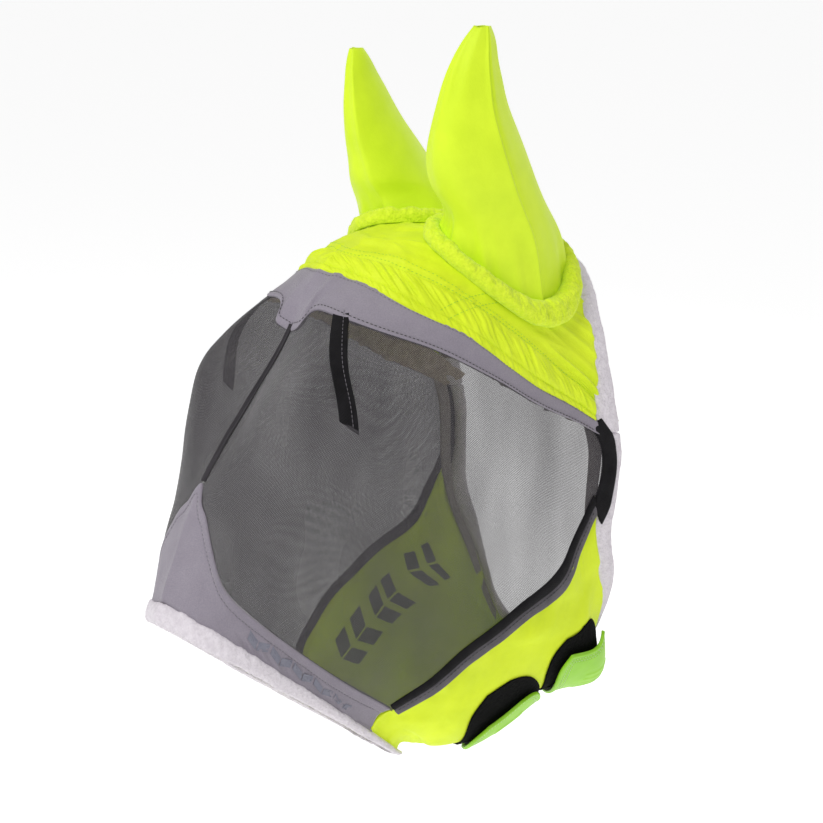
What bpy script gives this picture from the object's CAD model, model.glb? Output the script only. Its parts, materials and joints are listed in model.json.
import sys
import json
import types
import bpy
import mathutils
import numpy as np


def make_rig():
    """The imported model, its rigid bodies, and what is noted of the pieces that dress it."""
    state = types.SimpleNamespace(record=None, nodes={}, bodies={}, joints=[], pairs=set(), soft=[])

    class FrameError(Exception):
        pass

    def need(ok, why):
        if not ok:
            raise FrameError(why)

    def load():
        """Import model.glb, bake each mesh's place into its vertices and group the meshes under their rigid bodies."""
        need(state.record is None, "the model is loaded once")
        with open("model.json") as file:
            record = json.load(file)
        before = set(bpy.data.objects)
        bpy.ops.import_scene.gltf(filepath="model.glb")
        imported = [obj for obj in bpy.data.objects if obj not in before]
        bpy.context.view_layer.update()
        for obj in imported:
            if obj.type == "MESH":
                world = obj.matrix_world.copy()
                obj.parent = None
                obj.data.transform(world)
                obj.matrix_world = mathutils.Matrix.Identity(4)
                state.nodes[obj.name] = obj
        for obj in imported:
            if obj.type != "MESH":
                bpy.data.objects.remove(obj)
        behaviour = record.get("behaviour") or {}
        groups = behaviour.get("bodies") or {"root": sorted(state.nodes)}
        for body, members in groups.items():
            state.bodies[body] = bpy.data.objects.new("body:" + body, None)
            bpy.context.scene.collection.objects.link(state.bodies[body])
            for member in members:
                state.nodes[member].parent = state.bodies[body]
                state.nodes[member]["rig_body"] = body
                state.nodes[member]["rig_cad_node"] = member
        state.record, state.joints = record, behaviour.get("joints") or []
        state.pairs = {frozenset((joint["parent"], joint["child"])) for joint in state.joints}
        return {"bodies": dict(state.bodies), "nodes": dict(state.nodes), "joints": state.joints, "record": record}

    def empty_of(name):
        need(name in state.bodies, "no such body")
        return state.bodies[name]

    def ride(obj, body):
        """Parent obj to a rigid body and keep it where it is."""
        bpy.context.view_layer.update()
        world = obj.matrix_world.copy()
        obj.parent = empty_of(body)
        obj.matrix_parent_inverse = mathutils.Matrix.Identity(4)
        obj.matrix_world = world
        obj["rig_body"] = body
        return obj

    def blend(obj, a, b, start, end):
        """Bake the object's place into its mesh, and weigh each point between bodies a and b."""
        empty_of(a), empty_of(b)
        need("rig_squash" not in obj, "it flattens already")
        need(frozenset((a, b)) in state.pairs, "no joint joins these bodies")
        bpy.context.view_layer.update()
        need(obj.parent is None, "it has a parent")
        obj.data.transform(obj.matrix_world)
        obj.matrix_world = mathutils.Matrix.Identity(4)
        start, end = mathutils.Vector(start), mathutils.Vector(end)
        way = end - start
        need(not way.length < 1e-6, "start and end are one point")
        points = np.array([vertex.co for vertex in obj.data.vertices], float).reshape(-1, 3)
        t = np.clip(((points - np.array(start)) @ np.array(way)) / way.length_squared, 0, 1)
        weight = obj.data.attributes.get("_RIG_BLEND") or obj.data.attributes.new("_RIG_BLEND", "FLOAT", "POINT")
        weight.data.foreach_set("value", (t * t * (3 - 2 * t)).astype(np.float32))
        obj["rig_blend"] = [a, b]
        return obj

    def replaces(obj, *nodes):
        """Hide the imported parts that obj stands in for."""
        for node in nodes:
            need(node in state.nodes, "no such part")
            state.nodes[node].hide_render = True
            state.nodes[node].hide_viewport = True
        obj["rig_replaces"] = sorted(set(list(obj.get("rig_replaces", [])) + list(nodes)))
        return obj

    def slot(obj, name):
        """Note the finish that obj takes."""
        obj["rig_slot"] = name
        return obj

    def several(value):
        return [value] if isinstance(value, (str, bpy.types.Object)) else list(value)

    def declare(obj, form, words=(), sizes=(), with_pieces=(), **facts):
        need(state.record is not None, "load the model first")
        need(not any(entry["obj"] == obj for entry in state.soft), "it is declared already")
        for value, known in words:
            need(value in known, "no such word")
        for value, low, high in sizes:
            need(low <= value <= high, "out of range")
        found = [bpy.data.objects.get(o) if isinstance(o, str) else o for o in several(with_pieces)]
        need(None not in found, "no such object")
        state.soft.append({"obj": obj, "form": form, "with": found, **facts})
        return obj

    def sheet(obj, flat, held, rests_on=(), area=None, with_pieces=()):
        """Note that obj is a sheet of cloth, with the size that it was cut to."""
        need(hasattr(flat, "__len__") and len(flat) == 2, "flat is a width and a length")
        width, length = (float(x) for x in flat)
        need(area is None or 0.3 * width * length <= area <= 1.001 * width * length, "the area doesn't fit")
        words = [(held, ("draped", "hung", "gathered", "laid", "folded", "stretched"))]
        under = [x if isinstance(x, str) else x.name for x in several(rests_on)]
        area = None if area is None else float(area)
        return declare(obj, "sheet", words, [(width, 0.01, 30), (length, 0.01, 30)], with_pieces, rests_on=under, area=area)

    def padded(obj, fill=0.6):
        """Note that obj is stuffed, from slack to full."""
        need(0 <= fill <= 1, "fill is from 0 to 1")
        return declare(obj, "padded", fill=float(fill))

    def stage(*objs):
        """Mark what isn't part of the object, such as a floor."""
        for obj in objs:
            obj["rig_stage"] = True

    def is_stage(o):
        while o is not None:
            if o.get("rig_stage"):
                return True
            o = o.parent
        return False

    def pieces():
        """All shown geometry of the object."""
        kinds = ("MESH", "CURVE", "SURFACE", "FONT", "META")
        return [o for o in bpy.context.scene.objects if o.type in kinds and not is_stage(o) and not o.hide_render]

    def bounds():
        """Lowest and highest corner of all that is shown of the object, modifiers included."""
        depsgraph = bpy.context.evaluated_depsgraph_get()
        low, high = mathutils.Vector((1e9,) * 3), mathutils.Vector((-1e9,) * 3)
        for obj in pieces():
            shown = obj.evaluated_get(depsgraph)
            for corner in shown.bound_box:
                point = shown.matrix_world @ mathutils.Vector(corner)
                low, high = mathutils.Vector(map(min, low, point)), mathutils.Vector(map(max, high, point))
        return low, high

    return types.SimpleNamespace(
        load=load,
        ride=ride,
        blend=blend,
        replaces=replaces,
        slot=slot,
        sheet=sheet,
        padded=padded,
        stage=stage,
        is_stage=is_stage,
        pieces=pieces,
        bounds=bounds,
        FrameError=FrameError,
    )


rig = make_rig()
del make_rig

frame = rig.load()
BOX0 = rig.bounds()
import bpy
import bmesh
import json
import math
import numpy as np
from mathutils import Matrix, Vector

MM = 0.001
scene = bpy.context.scene

# ---------------------------------------------------------------- head form
# the same cross-sections and seam lines as the design, in millimetres
FORM = np.array([
    [-291.0, -275.9, -76.6, -441.7, 57.4, 14.5, 69.5],
    [-270.4, -221.1, -67.7, -433.3, 67.3, 25.5, 60.6],
    [-246.6, -176.2, -26.0, -443.0, 86.5, 47.2, 65.0],
    [-202.4, -121.7, 30.6, -424.9, 101.0, 91.9, 61.6],
    [-161.7, -67.5, 74.0, -409.1, 106.7, 82.0, 59.6],
    [-132.3, -20.8, 116.7, -411.5, 105.5, 25.4, 67.8],
    [-70.5, 0.7, 116.6, -397.7, 104.1, 52.8, 63.6],
    [-0.3, 1.2, 115.1, -381.3, 102.8, 58.1, 59.5],
    [70.9, -13.9, 117.5, -370.9, 105.7, 55.5, 60.5]])


def spline(xs, ys):
    xs = np.asarray(xs, float)
    ys = np.asarray(ys, float)
    n = len(xs)
    h = np.diff(xs)
    A = np.zeros((n, n))
    R = np.zeros((n,) + ys.shape[1:])
    A[0, 0] = A[-1, -1] = 1
    for i in range(1, n - 1):
        A[i, i - 1] = h[i - 1]
        A[i, i] = 2 * (h[i - 1] + h[i])
        A[i, i + 1] = h[i]
        R[i] = 6 * ((ys[i + 1] - ys[i]) / h[i] - (ys[i] - ys[i - 1]) / h[i - 1])
    M = np.linalg.solve(A, R)

    def f(x):
        x = np.asarray(x, float)
        i = np.clip(np.searchsorted(xs, x, side='right') - 1, 0, n - 2)
        hi = h[i]
        t0 = xs[i + 1] - x
        t1 = x - xs[i]
        if ys.ndim > 1:
            hi = hi[..., None]
            t0 = t0[..., None]
            t1 = t1[..., None]
        return ((M[i] * t0 ** 3 + M[i + 1] * t1 ** 3) / (6 * hi)
                + (ys[i] / hi - M[i] * hi / 6) * t0 + (ys[i + 1] / hi - M[i + 1] * hi / 6) * t1)
    return f


def half_profile(sh, lo):
    a = np.array([(0, 0), (0.80 * sh, 0.014), (0.62 + 0.2 * sh, 0.075), (0.90 + 0.05 * sh, 0.19),
                  (1.0, 0.36), (0.985, 0.56), (0.90 + 0.04 * lo, 0.76), (0.70 + 0.16 * lo, 0.90),
                  (0.48 + 0.14 * lo, 0.985), (0.26, 1.0), (0.0, 1.0)])
    s = np.concatenate([[0], np.cumsum(np.linalg.norm(np.diff(a * [1, 1.6], axis=0), axis=1))])
    return spline(s / s[-1], a)


PROFILES = [half_profile(r[5] / 100, r[6] / 100) for r in FORM]
ALONG = spline(np.linspace(0, 1, 9), np.eye(9))


def form(u, w):
    u, w = np.broadcast_arrays(np.asarray(u, float), np.asarray(w, float))
    a = np.abs(w)
    v = np.where(a <= 1, a, 2 - a)
    sign = np.where(w < 0, -1.0, 1.0) * np.where(a <= 1, 1.0, -1.0)
    c = np.clip(u, 0, 1)
    e = 1e-3
    slope = np.where(u[..., None] > 1, (ALONG(c) - ALONG(c - e)) / e,
                     np.where(u[..., None] < 0, (ALONG(c + e) - ALONG(c)) / e, 0.0))
    L = ALONG(c) + slope * (u - c)[..., None]
    P = np.zeros(u.shape + (3,))
    for k in range(9):
        q = PROFILES[k](v)
        Ty, Tz, By, Bz, hw = FORM[k, :5]
        P[..., 0] += L[..., k] * q[..., 0] * hw
        P[..., 1] += L[..., k] * (Ty + (By - Ty) * q[..., 1])
        P[..., 2] += L[..., k] * (Tz + (Bz - Tz) * q[..., 1])
    P[..., 0] *= sign
    return P


def normals(u, w):
    e = 1e-3
    N = np.cross(form(u, np.asarray(w) + e) - form(u, np.asarray(w) - e), form(np.asarray(u) + e, w) - form(np.asarray(u) - e, w))
    return N / np.linalg.norm(N, axis=-1)[..., None]


def at(u, w, h):
    return form(u, w) + normals(u, w) * np.asarray(h, float)[..., None]


def curve(pts):
    pts = np.array(pts, float)
    if len(pts) == 2:
        return lambda t: pts[0] + (pts[1] - pts[0]) * np.asarray(t, float)[..., None]
    s = np.concatenate([[0], np.cumsum(np.linalg.norm(np.diff(pts * [1, 1.2], axis=0), axis=1))])
    return spline(s / s[-1], pts)


# ---------------------------------------------------------------- value noise
def _hash(i, j, seed):
    n = (i.astype(np.int64) * 374761393 + j.astype(np.int64) * 668265263 + seed * 362437) & 0xffffffff
    n = ((n ^ (n >> 13)) * 1274126177) & 0xffffffff
    return ((n ^ (n >> 16)) & 0xffff) / 32767.5 - 1.0


def vn(x, y, seed=0):
    """Smooth noise in -1..1 of two coordinates."""
    i, j = np.floor(x), np.floor(y)
    fx, fy = x - i, y - j
    fx = fx * fx * fx * (fx * (fx * 6 - 15) + 10)
    fy = fy * fy * fy * (fy * (fy * 6 - 15) + 10)
    a, b = _hash(i, j, seed), _hash(i + 1, j, seed)
    c, d = _hash(i, j + 1, seed), _hash(i + 1, j + 1, seed)
    return (a * (1 - fx) + b * fx) * (1 - fy) + (c * (1 - fx) + d * fx) * fy


def fbm(x, y, seed=0, octaves=3, gain=.5):
    out, amp, f = 0.0, 1.0, 1.0
    for k in range(octaves):
        out = out + amp * vn(x * f, y * f, seed + 17 * k)
        amp *= gain
        f *= 2.03
    return out


def smooth(x, a, b):
    t = np.clip((x - a) / (b - a), 0, 1)
    return t * t * (3 - 2 * t)


# ---------------------------------------------------------------- materials
MATS = {}


def new_mat(name):
    m = bpy.data.materials.new(name)
    m.use_nodes = True
    nt = m.node_tree
    bsdf = nt.nodes["Principled BSDF"]
    MATS[name] = m
    return m, nt, bsdf


def node(nt, kind, **kw):
    n = nt.nodes.new(kind)
    for k, v in kw.items():
        setattr(n, k, v)
    return n


def mth(nt, op, a, b=None, c=None):
    n = nt.nodes.new("ShaderNodeMath")
    n.operation = op
    for i, x in enumerate((a, b, c)):
        if x is None:
            continue
        if isinstance(x, (int, float)):
            n.inputs[i].default_value = x
        else:
            nt.links.new(x, n.inputs[i])
    return n.outputs[0]


def uv_xy(nt, sx, sy):
    uv = node(nt, "ShaderNodeUVMap")
    uv.uv_map = "UVMap"
    sep = node(nt, "ShaderNodeSeparateXYZ")
    nt.links.new(uv.outputs[0], sep.inputs[0])
    return mth(nt, "MULTIPLY", sep.outputs[0], 1 / sx), mth(nt, "MULTIPLY", sep.outputs[1], 1 / sy)


def noise(nt, scale, detail=3.0, rough=.55, stretch=None):
    tc = node(nt, "ShaderNodeTexCoord")
    n = node(nt, "ShaderNodeTexNoise")
    n.inputs["Scale"].default_value = scale
    n.inputs["Detail"].default_value = detail
    n.inputs["Roughness"].default_value = rough
    if stretch:
        mp = node(nt, "ShaderNodeMapping")
        mp.inputs["Scale"].default_value = stretch
        nt.links.new(tc.outputs["Object"], mp.inputs["Vector"])
        nt.links.new(mp.outputs[0], n.inputs["Vector"])
    else:
        nt.links.new(tc.outputs["Object"], n.inputs["Vector"])
    return n.outputs["Fac"]


def bump(nt, height, dist, strength=1.0, normal=None):
    b = node(nt, "ShaderNodeBump")
    b.inputs["Distance"].default_value = dist
    b.inputs["Strength"].default_value = strength
    nt.links.new(height, b.inputs["Height"])
    if normal is not None:
        nt.links.new(normal, b.inputs["Normal"])
    return b.outputs[0]


def mix_col(nt, fac, a, b):
    m = node(nt, "ShaderNodeMix", data_type='RGBA')
    m.inputs[6].default_value = (*a, 1)
    m.inputs[7].default_value = (*b, 1)
    nt.links.new(fac, m.inputs[0])
    return m.outputs[2]


def remap(nt, x, a, b, lo=0.0, hi=1.0):
    m = node(nt, "ShaderNodeMapRange")
    m.inputs[1].default_value = a
    m.inputs[2].default_value = b
    m.inputs[3].default_value = lo
    m.inputs[4].default_value = hi
    nt.links.new(x, m.inputs[0])
    return m.outputs[0]


def weave_height(nt, pitch_x, pitch_y=None, twill=False):
    """Over-and-under threads from the UVs, which are in metres."""
    x, y = uv_xy(nt, pitch_x, pitch_y or pitch_x)
    if twill:
        y = mth(nt, "ADD", y, mth(nt, "MULTIPLY", x, 0.5))
    a = mth(nt, "ABSOLUTE", mth(nt, "SINE", mth(nt, "MULTIPLY", x, math.pi)))
    b = mth(nt, "ABSOLUTE", mth(nt, "SINE", mth(nt, "MULTIPLY", y, math.pi)))
    par = mth(nt, "MODULO", mth(nt, "ADD", mth(nt, "FLOOR", x), mth(nt, "FLOOR", y)), 2.0)
    par = mth(nt, "ABSOLUTE", par)
    return mth(nt, "ADD", mth(nt, "MULTIPLY", a, par), mth(nt, "MULTIPLY", b, mth(nt, "SUBTRACT", 1.0, par)))


def fabric(name, dark, light, rough=.75, sheen=.25, pitch=.0008, depth=.00008, twill=False, var_scale=35,
           glow=None, crumple=0.0, sheen_tint=None, sheen_rough=.4, spec=.3, mottled=False):
    m, nt, b = new_mat(name)
    f = remap(nt, noise(nt, var_scale, 4.0), .3, .7)
    if mottled:
        f2 = remap(nt, noise(nt, 900, 2.0), .35, .65)
        f = mth(nt, "MULTIPLY_ADD", f2, .6, mth(nt, "MULTIPLY", f, .4))
    nt.links.new(mix_col(nt, f, dark, light), b.inputs["Base Color"])
    h = weave_height(nt, pitch, None, twill)
    n = bump(nt, h, depth)
    n = bump(nt, noise(nt, 260, 3.0), .0004, .5, n)
    if crumple:
        n = bump(nt, noise(nt, 55, 4.0, .6), crumple, .6, n)
    nt.links.new(n, b.inputs["Normal"])
    nt.links.new(remap(nt, noise(nt, 18, 2.0), .3, .7, rough - .06, rough + .06), b.inputs["Roughness"])
    b.inputs["Sheen Weight"].default_value = sheen
    b.inputs["Sheen Roughness"].default_value = sheen_rough
    if sheen_tint:
        b.inputs["Sheen Tint"].default_value = (*sheen_tint, 1)
    b.inputs["Specular IOR Level"].default_value = spec
    if glow:
        b.inputs["Emission Color"].default_value = (*glow[0], 1)
        b.inputs["Emission Strength"].default_value = glow[1]
    return m


def fleece(name, dark, light, sheen=.6, scale=420, glow=None):
    m, nt, b = new_mat(name)
    f = remap(nt, noise(nt, scale * .5, 4.0, .65), .34, .66)
    nt.links.new(mix_col(nt, f, dark, light), b.inputs["Base Color"])
    v = node(nt, "ShaderNodeTexVoronoi")
    v.inputs["Scale"].default_value = scale
    tc = node(nt, "ShaderNodeTexCoord")
    nt.links.new(tc.outputs["Object"], v.inputs["Vector"])
    n = bump(nt, v.outputs["Distance"], .0009, .8)
    n = bump(nt, noise(nt, scale * 2.2, 4.0, .7), .0006, .8, n)
    n = bump(nt, noise(nt, scale * .25, 3.0, .6), .0016, .7, n)
    nt.links.new(n, b.inputs["Normal"])
    b.inputs["Roughness"].default_value = .95
    b.inputs["Sheen Weight"].default_value = sheen
    b.inputs["Sheen Roughness"].default_value = .6
    b.inputs["Specular IOR Level"].default_value = .15
    if glow:
        b.inputs["Emission Color"].default_value = (*glow[0], 1)
        b.inputs["Emission Strength"].default_value = glow[1]
    return m


YEL_D, YEL_L = (.63, .78, .010), (.73, .88, .016)
GLOW = ((.70, .92, .015), .05)
fabric("softshell_yellow", YEL_D, YEL_L, rough=.62, sheen=.25, pitch=.0007, depth=.00005, glow=GLOW, crumple=.0012,
       sheen_tint=(.9, 1, .4), spec=.35)
fabric("ear_yellow", (.60, .80, .014), (.67, .87, .02), rough=.55, sheen=.3, pitch=.0006, depth=.00004, glow=GLOW,
       sheen_tint=(.9, 1, .4), spec=.35)
fabric("band_grey", (.255, .228, .275), (.315, .285, .335), rough=.72, sheen=.35, pitch=.0009, depth=.0001, twill=True,
       var_scale=60, mottled=True)
fabric("seam_dark", (.020, .017, .021), (.032, .028, .033), rough=.7, sheen=.05, pitch=.0012, depth=.0001)
fabric("tape_black", (.006, .0055, .0065), (.013, .012, .014), rough=.75, sheen=.03, spec=.12, pitch=.0012, depth=.00018, var_scale=80)
fabric("tape_grey", (.085, .078, .088), (.125, .115, .128), rough=.75, sheen=.2, pitch=.0011, depth=.00016, var_scale=80,
       twill=True)
fabric("loop_black", (.003, .003, .003), (.008, .008, .008), rough=.95, sheen=.04, pitch=.0009, depth=.0001, var_scale=500,
       spec=.05)
fabric("strap_black", (.006, .006, .007), (.014, .013, .014), rough=.8, sheen=.1, pitch=.0016, depth=.0004, var_scale=300)
fabric("print_olive", (.050, .072, .018), (.070, .098, .026), rough=.5, sheen=.05, pitch=.0008, depth=.00004, var_scale=90)
fabric("print_grey", (.185, .185, .235), (.215, .215, .262), rough=.6, sheen=.1, pitch=.0009, depth=.00006, var_scale=90)
fleece("fleece_white", (.66, .61, .66), (.78, .73, .78), sheen=.35)
fleece("fleece_taupe", (.28, .24, .235), (.42, .37, .36), sheen=.3, scale=300)
fleece("fleece_yellow", (.60, .78, .02), (.74, .90, .04), sheen=.15, glow=GLOW)
fleece("fleece_tan", (.40, .315, .25), (.62, .52, .43), sheen=.3, scale=300)

# stitching threads
for nm, c in (("thread_black", (.012, .011, .013)), ("thread_grey", (.16, .145, .17)), ("thread_yellow", (.42, .70, .02)),
              ("thread_white", (.62, .78, .45))):
    m, nt, b = new_mat(nm)
    f = remap(nt, noise(nt, 1500, 2.0), .3, .7)
    nt.links.new(mix_col(nt, f, tuple(x * .8 for x in c), tuple(min(1, x * 1.15) for x in c)), b.inputs["Base Color"])
    b.inputs["Roughness"].default_value = .55
    b.inputs["Sheen Weight"].default_value = .2

# see-through eye mesh: square holes between round threads, from the UVs
m, nt, b = new_mat("mesh_dark")
x, y = uv_xy(nt, .00125, .00125)


def thread(nt, q, width, soft=.24):
    f = mth(nt, "ABSOLUTE", mth(nt, "SUBTRACT", mth(nt, "FRACT", q), .5))
    return remap(nt, mth(nt, "MULTIPLY", f, 2.0), 1 - width - soft, 1 - width + soft)


tx, ty = thread(nt, x, .46), thread(nt, y, .46)
cover = mth(nt, "MAXIMUM", tx, ty)
at_ = node(nt, "ShaderNodeAttribute")
at_.attribute_name = "inner"
outer_a = mth(nt, "MULTIPLY_ADD", cover, .46, .36)
outer_a = mth(nt, "ADD", outer_a, remap(nt, noise(nt, 9, 2.0, .5, (1.6, 1.6, .5)), .30, .70, -.10, .14))
nt.links.new(mth(nt, "ADD", mth(nt, "MULTIPLY", outer_a, mth(nt, "SUBTRACT", 1.0, at_.outputs["Fac"])),
                 mth(nt, "MULTIPLY", at_.outputs["Fac"], .22)), b.inputs["Alpha"])
f = remap(nt, noise(nt, 30, 3.0), .3, .7)
nt.links.new(mix_col(nt, f, (.034, .029, .035), (.048, .042, .049)), b.inputs["Base Color"])
nt.links.new(bump(nt, cover, .0002, .6), b.inputs["Normal"])
b.inputs["Roughness"].default_value = .55
b.inputs["Sheen Weight"].default_value = .1

# moulded rubber pull tab
m, nt, b = new_mat("rubber_green")
f = remap(nt, noise(nt, 45, 3.0), .3, .7)
nt.links.new(mix_col(nt, f, (.24, .54, .010), (.30, .62, .018)), b.inputs["Base Color"])
n = bump(nt, noise(nt, 1400, 2.0), .00006, .6)
nt.links.new(n, b.inputs["Normal"])
nt.links.new(remap(nt, noise(nt, 60, 3.0), .3, .7, .38, .52), b.inputs["Roughness"])
b.inputs["Subsurface Weight"].default_value = .06
b.inputs["Subsurface Radius"].default_value = (.002, .003, .001)
b.inputs["Emission Color"].default_value = (.25, .7, .01, 1)
b.inputs["Emission Strength"].default_value = .05


# ---------------------------------------------------------------- mesh making
def arc_uv(O):
    """UVs in metres: arc length along and across the grid."""
    d0 = np.linalg.norm(np.diff(O, axis=0), axis=2)
    d1 = np.linalg.norm(np.diff(O, axis=1), axis=2)
    y = np.concatenate([np.zeros((1, O.shape[1])), np.cumsum(d0, axis=0)])
    x = np.concatenate([np.zeros((O.shape[0], 1)), np.cumsum(d1, axis=1)], axis=1)
    mid = O.shape[1] // 2
    x = x - x[:, mid:mid + 1]
    return np.stack([x, y], -1)


def solid(name, O, I, mat, body, nodes=(), slot=None, keep=None, uv=None, wrap=False, round_rim=.45):
    """Closed mesh between an outer and an inner grid of points (mm); keep masks the grid's cells."""
    n, m = O.shape[:2]
    idx = np.arange(n * m).reshape(n, m)
    jn = m if wrap else m - 1
    a = idx[:-1, :jn]
    b = idx[:-1, (np.arange(jn) + 1) % m]
    c = idx[1:, (np.arange(jn) + 1) % m]
    d = idx[1:, :jn]
    quads = np.stack([a, b, c, d], -1).reshape(-1, 4)
    if keep is not None:
        quads = quads[keep.reshape(-1)]
    Of, If = O.reshape(-1, 3), I.reshape(-1, 3)
    N = n * m
    # direction test so that outer faces look away from the inner grid
    q0 = quads[len(quads) // 2]
    fn = np.cross(Of[q0[1]] - Of[q0[0]], Of[q0[3]] - Of[q0[0]])
    if np.dot(fn, Of[q0[0]] - If[q0[0]]) < 0:
        quads = quads[:, ::-1]
    e = np.concatenate([quads[:, [0, 1]], quads[:, [1, 2]], quads[:, [2, 3]], quads[:, [3, 0]]])
    key = np.sort(e, axis=1)
    _, first, cnt = np.unique(key, axis=0, return_index=True, return_counts=True)
    be = e[first[cnt == 1]]
    bv = np.unique(be)
    # outward direction of each rim point, from the centres of its faces
    cen = Of[quads].mean(axis=1)
    acc = np.zeros((N, 3))
    num = np.zeros(N)
    for k in range(4):
        np.add.at(acc, quads[:, k], cen)
        np.add.at(num, quads[:, k], 1)
    out = Of[bv] - acc[bv] / np.maximum(num[bv], 1)[:, None]
    out /= np.linalg.norm(out, axis=1)[:, None] + 1e-9
    th = np.linalg.norm(Of[bv] - If[bv], axis=1)[:, None]
    mid = (Of[bv] + If[bv]) / 2 + out * th * round_rim
    pos = -np.ones(N, int)
    pos[bv] = 2 * N + np.arange(len(bv))
    V = np.concatenate([Of, If, mid]) * MM
    rim1 = np.stack([be[:, 1], be[:, 0], pos[be[:, 0]], pos[be[:, 1]]], -1)
    rim2 = np.stack([pos[be[:, 1]], pos[be[:, 0]], be[:, 0] + N, be[:, 1] + N], -1)
    F = np.concatenate([quads, quads[:, ::-1] + N, rim1, rim2])
    if uv is None:
        uv = arc_uv(O * MM)
    U = uv.reshape(-1, 2)
    U = np.concatenate([U, U, U[bv]])
    used = np.unique(F)
    re = -np.ones(len(V), int)
    re[used] = np.arange(len(used))
    V, U, F = V[used], U[used], re[F]
    me = bpy.data.meshes.new(name)
    me.vertices.add(len(V))
    me.vertices.foreach_set("co", V.ravel())
    me.loops.add(len(F) * 4)
    me.loops.foreach_set("vertex_index", F.ravel().astype(np.int32))
    me.polygons.add(len(F))
    me.polygons.foreach_set("loop_start", np.arange(0, len(F) * 4, 4, dtype=np.int32))
    me.update(calc_edges=True)
    me.validate()
    lay = me.uv_layers.new(name="UVMap")
    vi = np.empty(len(me.loops), np.int32)
    me.loops.foreach_get("vertex_index", vi)
    lay.data.foreach_set("uv", U[vi].ravel())
    me.polygons.foreach_set("use_smooth", np.ones(len(me.polygons), bool))
    me.materials.append(MATS[mat])
    flag = me.attributes.new("inner", 'FLOAT', 'POINT')
    flag.data.foreach_set("value", ((used >= N) & (used < 2 * N)).astype(np.float32))
    o = bpy.data.objects.new(name, me)
    scene.collection.objects.link(o)
    finish_piece(o, body, nodes, slot)
    return o


def finish_piece(o, body, nodes=(), slot=None):
    if body:
        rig.ride(o, body)
    if nodes:
        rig.replaces(o, *nodes)
    if slot:
        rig.slot(o, slot)


def grid(A, B, n, m):
    s, t = np.meshgrid(np.linspace(0, 1, n), np.linspace(0, 1, m), indexing='ij')
    a, b = A(t), B(t)
    q = a * (1 - s[..., None]) + b * s[..., None]
    return s, t, q[..., 0], q[..., 1]


def coons(front, back, low, high, n, m):
    s, t = np.meshgrid(np.linspace(0, 1, n), np.linspace(0, 1, m), indexing='ij')
    S, T = s[..., None], t[..., None]
    c00, c10, c01, c11 = front(np.array(0.)), front(np.array(1.)), back(np.array(0.)), back(np.array(1.))
    q = ((1 - T) * front(s) + T * back(s) + (1 - S) * low(t) + S * high(t)
         - ((1 - S) * (1 - T) * c00 + S * (1 - T) * c10 + (1 - S) * T * c01 + S * T * c11))
    return s, t, q[..., 0], q[..., 1]


def lengths(u, w):
    """Physical coordinates of the grid in mm: across (rows) and along (columns)."""
    uv = arc_uv(form(u, w))
    return uv[..., 1], uv[..., 0]


def mirror_grid(G):
    G = G.copy()
    G[..., 0] *= -1
    return G


def sheet(o, O, held="stretched", on=(), gather=1.0):
    d0 = np.linalg.norm(np.diff(O, axis=0), axis=2).sum(axis=0).mean()
    L = np.linalg.norm(np.diff(O, axis=1), axis=2).sum(axis=1).mean() * gather
    a = np.linalg.norm(np.cross(O[:-1, 1:] - O[:-1, :-1], O[1:, :-1] - O[:-1, :-1]), axis=2).sum() * gather
    Wd = a / L
    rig.sheet(o, flat=(max(Wd * MM, .0101), L * MM), held=held, rests_on=list(on))
    FLAT[o.name] = (round(Wd), round(L))


FLAT = {}


# ---------------------------------------------------------------- seam lines
NOSE_TOP = [(.244, 0.0), (.216, .030), (.196, .067), (.173, .104), (.142, .150), (.113, .195), (.092, .232),
            (.080, .275), (.075, .34), (.077, .41), (.084, .48), (.097, .54), (.117, .59), (.148, .640)]
BROW_LOW = [(.553, .020), (.553, .133), (.575, .204), (.611, .258), (.655, .308), (.699, .352), (.733, .379),
            (.775, .408), (.822, .431), (.868, .446), (.920, .460), (.962, .472)]
BROW_TOP = [(.632, 0.0), (.638, .060), (.646, .133), (.660, .219), (.687, .277), (.720, .318), (.753, .356),
            (.787, .385), (.824, .408), (.868, .425), (.919, .442), (.962, .455)]
CHANNEL = [(.672, 0.0), (.684, .075), (.699, .160), (.716, .215), (.740, .262), (.770, .300), (.796, .328),
           (.824, .352), (.858, .376), (.893, .396), (.930, .412), (.958, .428)]
REAR_TOP = [(1.024, 0.0), (1.024, .080), (1.023, .160), (1.019, .225), (1.007, .290), (.997, .340), (.991, .385),
            (.984, .415), (.977, .438)]
REAR_OUT = [(1.043, 0.0), (1.043, .080), (1.041, .160), (1.037, .225), (1.027, .290), (1.019, .340), (1.020, .385),
            (1.022, .415), (1.026, .438)]
PIPE = [(.160, .638), (.237, .613), (.281, .609), (.338, .608), (.400, .616), (.466, .618), (.534, .612),
        (.628, .600), (.720, .598), (.800, .592), (.868, .578), (.918, .560)]
CHEEK_REAR = [(.925, .580), (.905, .612), (.912, .640), (.925, .670), (.935, .700), (.900, .745), (.850, .800),
              (.800, .860), (.750, .930)]
SHELL, MESHT, TAPE, LINING, GAP = 1.4, 0.5, 0.9, 3.6, 0.35
g = .003


def both(pts):
    left = [tuple(p) for p in pts if p[1] > 1e-6]
    mid = [tuple(p) for p in pts if p[1] <= 1e-6]
    return [(u, -w) for u, w in reversed(left)] + mid + left


def shift(pts, du=0.0, dw=0.0):
    return [(u + du, w + dw) for u, w in pts]


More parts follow.
